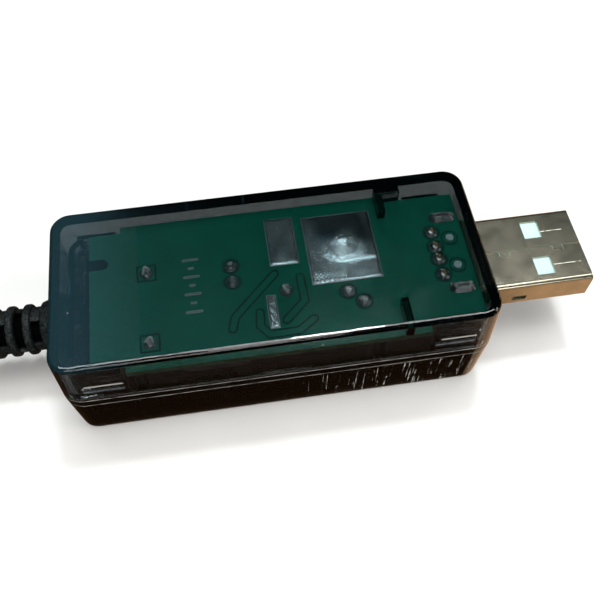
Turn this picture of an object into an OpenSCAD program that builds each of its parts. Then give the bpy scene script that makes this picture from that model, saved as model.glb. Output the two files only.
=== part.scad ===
// In-circuit programmer: a USB-A plug on a small board in a smoked snap-fit case, with a short lead
// to a six-way socket. +X is the way the plug points, Z = 0 is the underside of the case.

/* [Case] */
// Length of the case at its parting line
case_l = 58; // [54:1:70]
// Width of the case at its parting line
case_w = 25; // [24:1:32]
// Height of the closed case
case_h = 18; // [17:0.5:22]
// Height of the parting line between the two shells
parting_z = 9; // [8:0.5:10]
// Thickness of the shell walls
wall = 1.5; // [1.2:0.1:2]
// Corner radius seen from above
corner_r = 3; // [2:0.5:4]

/* [Circuit board] */
// Height of the underside of the board
board_z = 13.6; // [13.6:0.1:14]
// Thickness of the board
board_t = 1; // [0.8:0.1:1.6]
// Width of the board between the side walls
board_w = 21.6; // [20:0.1:22]
// Left end of the board
board_x0 = -24; // [-25:0.5:-23]
// Right end of the board
board_x1 = 27.3; // [26:0.1:27.3]

/* [USB plug] */
// Width of the plug shell
plug_w = 12; // [11.9:0.1:12.1]
// Height of the plug shell
plug_h = 4.5; // [4.4:0.1:4.6]
// Length of plug that stands out of the case
plug_out = 14.8; // [12:0.1:16]
// Thickness of the plug's sheet metal
sheet = 0.3; // [0.25:0.05:0.35]

/* [Cord] */
// Diameter of the cable
cord_d = 4; // [3:0.5:5]
// Diameter of the strain relief's rings
ring_d = 7; // [6:0.5:8]
// Diameter of the strain relief's flange against the case
flange_d = 8.3; // [7.5:0.1:9]
// Number of free rings on the strain relief
ring_n = 4; // [3:1:4]

/* [Hidden] */

eps = 0.01;
smooth = 48;
case_x = case_l / 2;
case_y = case_w / 2;
top_taper = 0.3;
base_taper = 0.5;
edge_r = 0.7;
// Turns at which the rounded edge is cut into slices, from the wall
edge_turns = [0 : 15 : 75];
roof = 1.6;
ceiling_z = case_h - roof;
floor_z = wall;
inner_y = case_y - wall;
lip_h = 1.2;
lip_t = 0.7;
fit = 0.05;

board_top = board_z + board_t;
notch_x = 19.7;
notch_d = 1;
post_x = -23.1;
post_y = 4.9;
post_l = 2.9;
post_w = 1.3;
pad_t = 0.06;
pad_top = board_top + pad_t;
lead_tip = 0.7;

tongue_x = 23.1;
tongue_l = 5.2;
tongue_t = 0.9;
tongue_y = inner_y - 0.2;
tongue_z0 = 7.5;
tongue_z1 = 14.2;
barb_z = 11.1;
barb_d = 0.5;

plug_z = parting_z + plug_h / 2;
plug_tip = case_x + plug_out;
plug_back = plug_tip - 19.6;
pin_x = plug_tip - 20.8;
tab_x = plug_tip - 18.75;
peg_x = tab_x + 0.25;
peg_y = 2.25;
peg_r = 0.55;
pin_y = [-3.5, -1, 1, 3.5];
tongue_top = plug_z + plug_h / 2 - sheet - 0.02;
contact_t = 0.2;
contact_z = tongue_top - 1.95;
window_x = plug_tip - 6.15;
window = [2.5, 2.85];
window_y = 3.05;
seam = 0.14;

// Through-hole joints on the solder side: [x, y]
choke_x = -16.4;
choke_y = [2.6, -8.1];
cap_x = -5.1;
cap_y = [2.05, -0.5];
led_p = [[9.9, -4.2], [11.7, -6]];
test_p = [1.8, -2.9];
lead_r = 0.3;
hole_r = 0.45;
through = concat(
    [for (y = choke_y) [choke_x, y]],
    [for (y = cap_y) [cap_x, y]],
    led_p,
    [test_p]
);

// Parts on the underside of the board
mcu_p = [9.1, 3.4];
mcu_w = 10;
mcu_pins = 11;
buffer_p = [-11.6, 6.7];
crystal_p = [-8.5, -7.2];
regulator_p = [18, -6.1];
regulator_size = [6.5, 3.5];
choke_z = board_z - 2.4;
choke_mid = (choke_y[0] + choke_y[1]) / 2;
led_mid = (led_p[0] + led_p[1]) / 2;
// Chip parts: [x, y, turn]
cap_chips = [[1.2, 7.6, 0], [1.2, 4.6, 0], [17.8, 1.4, 90], [17.8, 4.8, 90], [-1.2, -7.4, 90], [13.4, -7.4, 0]];
res_chips = [[20.4, 3.5, 90], [20.4, 1, 90], [20.4, -1.5, 90], [5.2, -5.2, 0], [5.2, -6.9, 0],
    [-12.4, -1, 0], [-12.4, 0.8, 0], [-12.4, -2.8, 0]];

// Strain relief, along -X from the left wall
relief_z = parting_z;
relief_end = -(case_x + plug_out);
neck_r = 3;
core_r = 2.15;
clip_x = [-27.2, -26.4];
clip_r = 3.8;
flange_t = 2.4;
slot_w = 1.25;
ring_w = 1.05;
ring_r = ring_d / 2;

// The cable's route outside the hank, and the hank's own sizes
lead_route = [
    [-43.8, 0, 9], [-47, 0, 9], [-50, 0, 8.6], [-53, 0, 7.8], [-56, 0.1, 6.7], [-59, 0.4, 5.5],
    [-62, 1.3, 4.3], [-65, 2.8, 3.2], [-68, 4.7, 2.4], [-71, 6.7, 2], [-74, 8.7, 2]
];
tail_route = [
    [-132, 12, 10], [-136, 11.9, 9.7], [-140, 11.5, 8.8], [-144, 10.8, 7.4],
    [-148, 10, 5.8], [-152, 9.2, 4.5], [-156, 8.7, 3.7], [-160, 8.5, 3.5]
];
cord_r = cord_d / 2;
hank_x = [-84, -128];
hank_mid = (hank_x[0] + hank_x[1]) / 2;
fold_r = 3 * cord_d;
waist_y = 6.2;
hank_layers = 3;
hank_h = hank_layers * cord_d;
tie_w = 6;
tie_t = 0.8;

plug_end = tail_route[len(tail_route) - 1];
boot_l = 6;
body_l = 10;
body_w = 9;
body_h = 2 * plug_end[2];
socket_l = 8;
pitch = 2.54;
socket_w = 3 * pitch;
socket_h = 2 * pitch;

// Six wires from the cable's end to the board's left end
wire_r = 0.35;
wire_turn = [210, 150, 270, 90, 330, 30];
wire_x = -21.2;
wire_y0 = -7.7;
wire_step = 2.2;
spigot_x = -24.8;

// ---- shared shapes ----

module slab(l, w, r) {
    union() {
        square([l - 2 * r, w], center = true);
        square([l, w - 2 * r], center = true);
        for (x = [-1, 1], y = [-1, 1])
            translate([x * (l / 2 - r), y * (w / 2 - r)])
                circle(r = r, $fn = 32);
    }
}

// One slice of the case, inset from the parting-line outline
module slice(z, inset) {
    translate([0, 0, z])
        linear_extrude(eps)
            slab(case_l - 2 * inset, case_w - 2 * inset, max(corner_r - inset, 0.6));
}

module box(x, y, z) {
    translate([x[0], y[0], z[0]])
        cube([x[1] - x[0], y[1] - y[0], z[1] - z[0]]);
}

module along_x(x0, x1, r) {
    translate([x0, 0, relief_z])
        rotate([0, 90, 0])
            cylinder(h = x1 - x0, r = r, $fn = smooth);
}

// A flat profile in X and Z, w wide about y
module blade(points, y, w) {
    translate([0, y + w / 2, 0])
        rotate([90, 0, 0])
            linear_extrude(w)
                polygon(points);
}

module at_tongues() {
    for (sx = [-1, 1], sy = [0, 1])
        mirror([0, sy, 0])
            translate([sx * tongue_x, 0, 0])
                children();
}

function unit(v) = v / norm(v);
function thin(route) = [for (i = [0 : len(route) - 1]) if (i % 2 == 0 || i == len(route) - 1) route[i]];
function way(p, i, first, last) =
    i == 0 ? first : i == len(p) - 1 ? last : unit(p[i + 1] - p[i - 1]);
function ring_at(c, t, r, n) =
    let (s = unit(cross(t, abs(t[2]) > 0.9 ? [0, 1, 0] : [0, 0, 1])), u = cross(s, t))
    [for (k = [0 : n - 1]) c + r * (cos(360 * k / n) * s + sin(360 * k / n) * u)];

// A closed tube along a list of points, square to the given ways at its two ends
module tube(p, r, n, first, last) {
    m = len(p);
    points = [for (i = [0 : m - 1]) each ring_at(p[i], way(p, i, first, last), r, n)];
    sides = [for (i = [0 : m - 2], k = [0 : n - 1])
        [i * n + k, i * n + (k + 1) % n, (i + 1) * n + (k + 1) % n, (i + 1) * n + k]];
    ends = [[for (k = [n - 1 : -1 : 0]) k], [for (k = [0 : n - 1]) (m - 1) * n + k]];
    polyhedron(points, concat(sides, ends));
}

// ---- case ----

module upper_shell() {
    color([0.10, 0.13, 0.17, 0.6])
    difference() {
        union() {
            difference() {
                hull() {
                    slice(parting_z, 0);
                    for (a = edge_turns)
                        slice(case_h - edge_r * (1 - sin(a)), top_taper + edge_r * (1 - cos(a)));
                    slice(case_h - eps, top_taper + edge_r);
                }
                hull() {
                    slice(parting_z - eps, wall);
                    slice(ceiling_z - eps, wall + 0.1);
                }
            }
            // ribs that hold the board down
            for (y = [[-inner_y, -7.3], [6.9, inner_y]])
                box([16.1, 17.1], y, [board_top + fit, ceiling_z + eps]);
            box([17.1, 19.7], [9.7, inner_y], [board_top + fit, ceiling_z + eps]);
            // pocket wall behind the strain relief
            box([-26.3, -25.5], [-9.7, 6.2], [11.5, ceiling_z + eps]);
            translate([-24.3, 6.2, 11.5])
                linear_extrude(ceiling_z - 11.5 + eps)
                    intersection() {
                        difference() {
                            circle(r = 2, $fn = smooth);
                            circle(r = 1.2, $fn = smooth);
                        }
                        translate([-2, 0])
                            square([2, 2]);
                    }
        }
        // rebate over the lower shell's lip
        translate([0, 0, parting_z - 1])
            linear_extrude(1 + lip_h + fit)
                difference() {
                    slab(case_l - 2 * (wall - lip_t - fit), case_w - 2 * (wall - lip_t - fit),
                        corner_r - (wall - lip_t - fit));
                    slab(case_l - 2 * wall - 1, case_w - 2 * wall - 1, 1.2);
                }
        // opening for the plug
        box([case_x - 2 * wall, case_x + 1], [-plug_w / 2 - fit, plug_w / 2 + fit],
            [parting_z - 1, parting_z + plug_h + fit]);
        // half bore for the strain relief
        along_x(-case_x - 1, -case_x + wall + 0.5, neck_r + fit);
        // catches for the snap tongues
        at_tongues()
            box([-tongue_l / 2 - 0.1, tongue_l / 2 + 0.1], [tongue_y, inner_y + barb_d],
                [barb_z - 0.05, barb_z + 1.15]);
    }
}

module lower_shell() {
    color([0.10, 0.12, 0.15, 0.6])
    difference() {
        union() {
            difference() {
                hull() {
                    slice(0, base_taper + edge_r);
                    for (a = edge_turns)
                        slice(edge_r * (1 - sin(a)), base_taper + edge_r * (1 - cos(a)));
                    slice(parting_z - eps, 0);
                }
                hull() {
                    slice(floor_z, wall + base_taper);
                    slice(parting_z, wall);
                }
            }
            // lip that the upper shell's rebate fits over
            translate([0, 0, parting_z - 1])
                linear_extrude(1 + lip_h)
                    difference() {
                        slab(case_l - 2 * (wall - lip_t), case_w - 2 * (wall - lip_t),
                            corner_r - (wall - lip_t));
                        slab(case_l - 2 * wall, case_w - 2 * wall, corner_r - wall);
                    }
            // ledges that carry the snap tongues
            at_tongues()
                box([-tongue_l / 2, tongue_l / 2], [tongue_y - tongue_t, inner_y + 0.3],
                    [tongue_z0 - 2, tongue_z0]);
            // ribs that carry the board
            for (p = [[-18.6, -1], [13.4, -1], [-18.6, 1], [18.4, 1]])
                box([p[0] - 0.5, p[0] + 0.5],
                    [p[1] > 0 ? 8.3 : -inner_y + 0.35, p[1] > 0 ? inner_y - 0.35 : -8.3],
                    [floor_z - 0.2, board_z]);
            // locating post through the notch in the board's end
            translate([0, 0, floor_z - 0.2])
                linear_extrude(board_top + 0.5 - floor_z)
                    post_outline(0);
            // pocket wall behind the strain relief
            box([-26.3, -25.5], [-9, 9], [floor_z - 0.2, 6.9]);
        }
        // room for the plug and for the strain relief in the lip
        box([case_x - 2 * wall, case_x + 1], [-plug_w / 2 - 0.3, plug_w / 2 + 0.3],
            [parting_z, parting_z + 2 * lip_h]);
        box([-case_x - 1, -case_x + 2 * wall], [-4.6, 4.6], [parting_z, parting_z + 2 * lip_h]);
        along_x(-case_x - 1, -case_x + wall + 0.5, neck_r + fit);
    }
}

module post_outline(gap) {
    for (x = [-1, 1])
        translate([post_x + x * (post_l - post_w) / 2, post_y])
            circle(d = post_w + 2 * gap, $fn = smooth);
    translate([post_x, post_y])
        square([post_l - post_w, post_w + 2 * gap], center = true);
}

module snap_tongues() {
    color([0.10, 0.12, 0.15, 0.6])
    at_tongues()
        translate([-tongue_l / 2, 0, 0])
            rotate([90, 0, 90])
                linear_extrude(tongue_l)
                    polygon([
                        [tongue_y - tongue_t, tongue_z0],
                        [tongue_y, tongue_z0],
                        [tongue_y, barb_z],
                        [tongue_y + 0.2 + barb_d - 0.1, barb_z],
                        [tongue_y + 0.2 + barb_d - 0.1, barb_z + 0.2],
                        [tongue_y, barb_z + 1.1],
                        [tongue_y, tongue_z1 - 0.3],
                        [tongue_y - 0.3, tongue_z1],
                        [tongue_y - tongue_t, tongue_z1]
                    ]);
}

// ---- board and solder ----

module circuit_board() {
    color("darkgreen")
    translate([0, 0, board_z])
        linear_extrude(board_t)
            difference() {
                translate([board_x0, -board_w / 2])
                    square([board_x1 - board_x0, board_w]);
                // corner notches clear of the snap tongues
                for (x = [board_x0 - 1, notch_x], y = [-board_w / 2 - 1, board_w / 2 - notch_d])
                    translate([x, y])
                        square([x > 0 ? 9 : -notch_x - board_x0 + 1, notch_d + 1]);
                // open notch around the locating post
                post_outline(0.2);
                translate([board_x0 - 1, post_y - post_w / 2 - 0.2])
                    square([post_x - board_x0 + 1, post_w + 0.4]);
                for (p = through)
                    translate(p)
                        circle(r = hole_r, $fn = 24);
                for (y = pin_y)
                    translate([pin_x, y])
                        circle(r = 0.5, $fn = 24);
                for (s = [-1, 1]) {
                    translate([peg_x, s * peg_y])
                        circle(r = peg_r + fit, $fn = 24);
                    translate([tab_x, s * (plug_w - sheet) / 2])
                        square([2.2, 0.9], center = true);
                }
            }
}

module tinned_pads() {
    color("lightslategray")
    translate([0, 0, board_top]) {
        linear_extrude(pad_t) {
            translate([0.2, 1.2])
                square([4, 7.8]);
            translate([5.4, -2.6])
                square([9.6, 11.2]);
            translate([-1, -8.3])
                square([1.3, 5]);
        }
        // two short rows of plated holes at the edge of the large pad
        translate([0, 0, pad_t])
            for (i = [0 : 6], j = [0, 1])
                translate([5.8 + 0.66 * i + 0.2 * j, -2.2 + 0.7 * j, 0])
                    cylinder(h = 0.06, r = 0.2, $fn = 16);
    }
}

// A fillet of solder, rising round a lead of radius hole
module fillet_joint(r, h, hole) {
    rotate_extrude($fn = 32)
        polygon([
            [hole, 0], [r, 0], [0.94 * r, 0.22 * h], [0.66 * r, 0.5 * h],
            [0.5 * r, 0.82 * h], [hole + 0.12, h], [hole, h]
        ]);
}

module solder_joints() {
    color("gainsboro") {
        for (p = through)
            translate([p[0], p[1], board_top])
                fillet_joint(0.95, 0.55, lead_r);
        for (y = pin_y)
            translate([pin_x, y, board_top])
                difference() {
                    fillet_joint(0.95, 0.6, 0);
                    translate([0, 0, 1])
                        cube([0.3, 0.6, 4], center = true);
                }
        // long fillets over the shell's two tabs
        for (s = [-1, 1])
            translate([tab_x, s * (plug_w - sheet) / 2, board_top])
                difference() {
                    hull()
                        for (x = [-0.9, 0.9])
                            translate([x, 0, 0]) {
                                cylinder(h = 0.2, r = 0.95, $fn = 24);
                                cylinder(h = 0.65, r = 0.4, $fn = 24);
                            }
                    translate([0, 0, 1])
                        cube([1.7, sheet, 4], center = true);
                }
        // low dome on the large pad
        translate([10.6, 3.6, pad_top])
            intersection() {
                translate([0, 0, 0.4 - 9])
                    sphere(r = 9, $fn = 96);
                cylinder(h = 2, r = 4, $fn = smooth);
            }
    }
}

// ---- USB plug ----

module plug_outline(inset) {
    r = 0.6 - inset;
    union() {
        square([plug_w - 2 * inset - 2 * r, plug_h - 2 * inset], center = true);
        square([plug_w - 2 * inset, plug_h - 2 * inset - 2 * r], center = true);
        for (x = [-1, 1], y = [-1, 1])
            translate([x * (plug_w / 2 - inset - r), y * (plug_h / 2 - inset - r)])
                circle(r = r, $fn = 24);
    }
}

module plug_bar(x0, x1, inset) {
    translate([x0, 0, plug_z])
        rotate([90, 0, 90])
            linear_extrude(x1 - x0)
                plug_outline(inset);
}

module usb_plug_shell() {
    color("dimgray") {
        difference() {
            plug_bar(plug_back, plug_tip, 0);
            plug_bar(plug_back - 1, plug_tip + 1, sheet);
            for (s = [-1, 1]) {
                translate([window_x, s * window_y, plug_z])
                    cube([window[0], window[1], 2 * plug_h], center = true);
                // small opening in each side
                translate([plug_tip - 9.9, s * plug_w / 2, plug_z - 0.7])
                    cube([2, 4 * sheet, 0.9], center = true);
            }
            // folded seam with its two interlocking steps
            box([plug_back - 1, plug_tip + 1], [-seam / 2, seam / 2], [plug_z, plug_z + plug_h]);
            for (x = [plug_tip - 11, plug_tip - 3.3]) {
                for (dx = [-0.75, 0.75])
                    box([x + dx - seam / 2, x + dx + seam / 2], [-0.85, 0], [plug_z, plug_z + plug_h]);
                box([x - 0.75, x + 0.3], [-0.85, -0.85 + seam], [plug_z, plug_z + plug_h]);
            }
            // the top is cut away over the moulding that sits on the board
            box([plug_back - 1, 27.2], [-5.3, 5.3], [plug_z, plug_z + plug_h]);
        }
        // tabs through the board
        for (s = [-1, 1])
            translate([tab_x, s * (plug_w - sheet) / 2, (plug_z + 1 + board_top + lead_tip) / 2])
                cube([1.7, sheet, board_top + lead_tip - plug_z - 1], center = true);
    }
}

module contact_bars() {
    for (y = pin_y) {
        box([pin_x - 0.15, plug_tip - 1.5], [y - 0.5, y + 0.5], [contact_z - contact_t, contact_z]);
        box([pin_x - 0.15, pin_x + 0.15], [y - 0.3, y + 0.3], [contact_z - contact_t, board_top + lead_tip]);
    }
}

module usb_insulator() {
    color("aliceblue") {
        difference() {
            union() {
                intersection() {
                    plug_bar(pin_x + 0.6, plug_tip - 0.5, sheet + 0.02);
                    box([0, plug_tip], [-6, 6], [contact_z, board_z]);
                }
                intersection() {
                    plug_bar(pin_x + 0.6, plug_tip - 15.3, sheet + 0.02);
                    box([0, plug_tip], [-6, 6], [0, board_z]);
                }
            }
            contact_bars();
        }
        for (s = [-1, 1])
            translate([peg_x, s * peg_y, tongue_top - 0.3])
                cylinder(h = board_top + 0.15 - tongue_top + 0.3, r = peg_r, $fn = 24);
    }
}

module usb_contacts() {
    color("gold")
        contact_bars();
}

// ---- parts on the underside of the board ----

// One gull-wing lead that reaches from x = 0 out to x = reach
module gull(reach, foot, w, t, h) {
    rotate([90, 0, 0])
        translate([0, 0, -w / 2])
            linear_extrude(w)
                polygon([
                    [0, -h], [reach - foot, -h], [reach - foot, -t], [reach, -t],
                    [reach, 0], [reach - foot - t, 0], [reach - foot - t, -h + t], [0, -h + t]
                ]);
}

module chip(p, w, l, z0, z1) {
    translate([p[0] - w / 2, p[1] - l / 2, z0])
        cube([w, l, z1 - z0]);
}

module microcontroller_body() {
    color("black")
        chip(mcu_p, mcu_w, mcu_w, board_z - 1.15, board_z - 0.15);
}

module microcontroller_leads() {
    color("silver")
    translate([mcu_p[0], mcu_p[1], board_z])
        for (a = [0 : 90 : 270], i = [0 : mcu_pins - 1])
            rotate(a)
                translate([mcu_w / 2, (i - (mcu_pins - 1) / 2) * 0.8, 0])
                    gull(1, 0.5, 0.35, 0.12, 0.6);
}

module buffer_body() {
    color("black")
        chip(buffer_p, 8.7, 3.9, board_z - 1.65, board_z - 0.15);
}

module buffer_leads() {
    color("silver")
    translate([buffer_p[0], buffer_p[1], board_z])
        for (a = [90, 270], i = [0 : 6])
            rotate(a)
                translate([3.9 / 2, (i - 3) * 1.27, 0])
                    gull(1.05, 0.5, 0.4, 0.18, 0.85);
}

module regulator_body() {
    color("black")
        chip(regulator_p, regulator_size[0], regulator_size[1], board_z - 1.65, board_z - 0.05);
}

module regulator_leads() {
    color("silver")
    translate([regulator_p[0], regulator_p[1], board_z]) {
        rotate(90)
            translate([regulator_size[1] / 2, 0, 0])
                gull(1.7, 1, 3, 0.25, 0.9);
        for (i = [-1 : 1])
            rotate(270)
                translate([regulator_size[1] / 2, i * 2.3, 0])
                    gull(1.7, 1, 0.7, 0.25, 0.9);
    }
}

module crystal_can() {
    color("silver")
    translate([crystal_p[0], crystal_p[1], board_z - 3.8])
        linear_extrude(3.5) {
            square([6.4, 4.6], center = true);
            for (s = [-1, 1])
                translate([s * 3.2, 0])
                    circle(d = 4.6, $fn = smooth);
        }
}

module crystal_leads() {
    color("silver")
    translate([crystal_p[0], crystal_p[1], board_z - 0.3])
        for (s = [-1, 1])
            translate([s * 4.8, 0, 0.15])
                cube([3, 0.8, 0.3], center = true);
}

module capacitor_can() {
    color("midnightblue")
    translate([cap_x, (cap_y[0] + cap_y[1]) / 2, board_z - 7.5])
        rotate_extrude($fn = smooth)
            polygon([[0, 0], [2.85, 0], [3.15, 0.3], [3.15, 5.9], [2.95, 6.1], [3.15, 6.3], [3.15, 7], [0, 7]]);
}

module capacitor_leads() {
    color("silver")
    for (y = cap_y)
        translate([cap_x, y, board_z - 0.5])
            cylinder(h = 0.5 + board_t + lead_tip, r = lead_r, $fn = 24);
}

module choke_body() {
    color("seagreen")
    translate([choke_x, choke_mid, choke_z])
        rotate([90, 0, 0])
            rotate_extrude($fn = smooth)
                polygon([[0, -3.4], [1.5, -3.4], [1.7, -3.2], [1.7, -2.3], [1.5, -2.1], [1.5, 2.1],
                    [1.7, 2.3], [1.7, 3.2], [1.5, 3.4], [0, 3.4]]);
}

module choke_leads() {
    color("silver")
    for (y = choke_y) {
        translate([choke_x, y, choke_z])
            cylinder(h = board_top + lead_tip - choke_z, r = lead_r, $fn = 24);
        translate([choke_x, y, choke_z])
            sphere(r = lead_r, $fn = 24);
        translate([choke_x, y < choke_mid ? y : choke_mid + 3.4, choke_z])
            rotate([-90, 0, 0])
                cylinder(h = abs(y - choke_mid) - 3.4, r = lead_r, $fn = 24);
    }
}

module status_led() {
    color("honeydew")
    translate([led_mid[0], led_mid[1], board_z - 0.6])
        rotate([180, 0, 0]) {
            cylinder(h = 0.9, r = 1.85, $fn = smooth);
            cylinder(h = 3.2, r = 1.5, $fn = smooth);
            translate([0, 0, 3.2])
                sphere(r = 1.5, $fn = smooth);
        }
}

module led_leads() {
    color("silver")
    for (p = led_p)
        translate([p[0], p[1], board_z - 0.6])
            cylinder(h = 0.6 + board_t + lead_tip, r = lead_r, $fn = 24);
}

module test_pin() {
    color("silver")
    translate([test_p[0], test_p[1], board_z - 5])
        cylinder(h = 5 + board_t + lead_tip, r = lead_r, $fn = 24);
}

module at_chips(list) {
    for (c = list)
        translate([c[0], c[1], board_z])
            rotate(c[2])
                children();
}

module chip_capacitors() {
    color("burlywood")
    at_chips(cap_chips)
        translate([0, 0, -0.5])
            cube([1.3, 1.2, 0.9], center = true);
}

module chip_resistors() {
    color("black")
    at_chips(res_chips)
        translate([0, 0, -0.3])
            cube([1.1, 0.8, 0.5], center = true);
}

module chip_terminals() {
    color("silver") {
        at_chips(cap_chips)
            for (s = [-1, 1])
                translate([s * 0.85, 0, -0.5])
                    cube([0.4, 1.25, 1], center = true);
        at_chips(res_chips)
            for (s = [-1, 1])
                translate([s * 0.7, 0, -0.28])
                    cube([0.3, 0.82, 0.56], center = true);
    }
}

// A wire leaves the cable's end, fans out and turns up into the board
function wire_path(i) =
    let (a = wire_turn[i], y = wire_y0 + wire_step * i)
    [
        [spigot_x, 1.2 * cos(a), relief_z + 1.2 * sin(a)],
        [spigot_x + 0.9, 0.7 * cos(a) + 0.12 * y, relief_z + 0.9 * sin(a)],
        [spigot_x + 1.9, 0.4 * cos(a) + 0.45 * y, relief_z + 0.5 * sin(a) + 0.2],
        [spigot_x + 2.7, 0.78 * y, relief_z + 0.9],
        [spigot_x + 3.3, 0.95 * y, relief_z + 2.1],
        [wire_x, y, relief_z + 3.4],
        [wire_x, y, board_z]
    ];

module wire_leads() {
    color("firebrick")
    for (i = [0 : 5])
        tube(wire_path(i), wire_r, 8, [1, 0, 0], [0, 0, 1]);
}

// ---- strain relief and cable ----

// Two opposite bridges of one slot, centred on a turn about the axis from straight up
module bridges(x, turn, half) {
    intersection() {
        along_x(x - slot_w - eps, x + eps, 0.86 * ring_r);
        translate([x - slot_w - 2 * eps, 0, relief_z])
            rotate([90, 0, 90])
                linear_extrude(slot_w + 4 * eps)
                    for (a = [90 - turn, 270 - turn])
                        polygon([[0, 0], for (s = [-1, 0, 1]) 5 * [cos(a + s * half), sin(a + s * half)]]);
    }
}

module relief_ring(x) {
    r = 0.35;
    translate([x, 0, relief_z])
        rotate([0, -90, 0])
            rotate_extrude($fn = smooth) {
                square([ring_r - r, ring_w]);
                translate([0, r])
                    square([ring_r, ring_w - 2 * r]);
                for (z = [r, ring_w - r])
                    translate([ring_r - r, z])
                        circle(r = r, $fn = 24);
            }
}

module strain_relief() {
    first = -case_x - flange_t;
    pitch_x = slot_w + ring_w;
    color([0.08, 0.08, 0.08]) {
        along_x(relief_end, clip_x[0], core_r);
        along_x(-case_x, clip_x[0], neck_r);
        along_x(clip_x[0], clip_x[1], clip_r);
        along_x(clip_x[1], spigot_x, cord_r);
        // outer flange, dished towards the first slot
        translate([-case_x, 0, relief_z])
            rotate([0, -90, 0])
                rotate_extrude($fn = smooth)
                    polygon([[0, 0], [flange_d / 2 - 0.2, 0], [flange_d / 2, 0.3], [ring_r + 0.05, flange_t - 0.25],
                        [ring_r - 0.3, flange_t], [0, flange_t]]);
        for (k = [0 : ring_n - 1])
            relief_ring(first - slot_w - k * pitch_x);
        for (k = [0 : ring_n])
            bridges(first - k * pitch_x, k % 2 == 0 ? 46 : 60, k % 2 == 0 ? 56 : 18);
        // tail that narrows to the cable
        translate([first - slot_w - ring_n * pitch_x, 0, relief_z])
            rotate([0, -90, 0])
                cylinder(h = first - slot_w - ring_n * pitch_x - relief_end, r1 = ring_r - 0.3,
                    r2 = cord_r + 0.5, $fn = smooth);
    }
}

module cable_lead() {
    color([0.07, 0.07, 0.07])
        tube(thin(lead_route), cord_r, 10, [-1, 0, 0], [-1, 0, 0]);
}

module cable_tail() {
    color([0.07, 0.07, 0.07])
        tube(thin(tail_route), cord_r, 10, [-1, 0, 0], [-1, 0, 0]);
}

// Two end loops and a narrower waist, which the tie lifts clear of the table
module cable_hank() {
    w = waist_y + cord_r;
    color([0.07, 0.07, 0.07])
    difference() {
        union() {
            linear_extrude(hank_h) {
                for (x = hank_x)
                    translate([x, 0])
                        circle(r = fold_r + cord_r, $fn = 96);
                polygon([
                    [hank_x[0], fold_r + cord_r], [hank_mid + 8, w], [hank_mid - 8, w],
                    [hank_x[1], fold_r + cord_r], [hank_x[1], -fold_r - cord_r], [hank_mid - 8, -w],
                    [hank_mid + 8, -w], [hank_x[0], -fold_r - cord_r]
                ]);
            }
            translate([hank_mid - tie_w / 2, -w, 0])
                cube([tie_w, 2 * w, hank_h + tie_t]);
        }
        translate([hank_mid - tie_w / 2, -w - 1, -1])
            cube([tie_w, 2 * w + 2, 1 + tie_t]);
    }
}

module hank_tie() {
    w = waist_y + cord_r;
    color("dimgray")
    translate([hank_mid, 0, 0])
        rotate([90, 0, 90])
            translate([0, 0, -tie_w / 2])
                linear_extrude(tie_w)
                    difference() {
                        translate([-w - tie_t, 0])
                            square([2 * w + 2 * tie_t, hank_h + 3 * tie_t]);
                        translate([-w, tie_t])
                            square([2 * w, hank_h]);
                    }
}

// ---- six-way socket ----

module connector_body() {
    r = 1.2;
    color([0.09, 0.09, 0.09]) {
        translate([plug_end[0], plug_end[1], plug_end[2]])
            rotate([0, -90, 0])
                cylinder(h = boot_l, r1 = cord_r + 0.5, r2 = cord_r + 1.2, $fn = smooth);
        translate([plug_end[0] - boot_l - body_l, plug_end[1], plug_end[2]])
            rotate([90, 0, 90])
                linear_extrude(body_l) {
                    square([body_w - 2 * r, body_h], center = true);
                    square([body_w, body_h - 2 * r], center = true);
                    for (x = [-1, 1], y = [-1, 1])
                        translate([x * (body_w / 2 - r), y * (body_h / 2 - r)])
                            circle(r = r, $fn = 32);
                }
    }
}

module at_ways() {
    translate([plug_end[0] - boot_l - body_l - socket_l, plug_end[1], plug_end[2]])
        for (i = [-1 : 1], j = [-0.5, 0.5])
            translate([0, i * pitch, j * pitch])
                children();
}

module connector_socket() {
    color([0.05, 0.05, 0.05])
    difference() {
        translate([plug_end[0] - boot_l - body_l - socket_l, plug_end[1] - socket_w / 2,
            plug_end[2] - socket_h / 2])
            cube([socket_l, socket_w, socket_h]);
        at_ways() {
            translate([3, 0, 0])
                cube([8, 1.7, 1.7], center = true);
            translate([0, 0, 0])
                cube([4, 0.9, 0.9], center = true);
        }
    }
}

module connector_contacts() {
    color("gold")
    at_ways()
        translate([3.9, 0, 0])
            difference() {
                cube([5.6, 1.6, 1.6], center = true);
                translate([-0.6, 0, 0])
                    cube([5.6, 1.1, 1.1], center = true);
            }
}

upper_shell();
lower_shell();
snap_tongues();
circuit_board();
tinned_pads();
solder_joints();
usb_plug_shell();
usb_insulator();
usb_contacts();
microcontroller_body();
microcontroller_leads();
buffer_body();
buffer_leads();
regulator_body();
regulator_leads();
crystal_can();
crystal_leads();
capacitor_can();
capacitor_leads();
choke_body();
choke_leads();
status_led();
led_leads();
test_pin();
chip_capacitors();
chip_resistors();
chip_terminals();
wire_leads();
strain_relief();
cable_lead();
cable_hank();
cable_tail();
hank_tie();
connector_body();
connector_socket();
connector_contacts();
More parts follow.
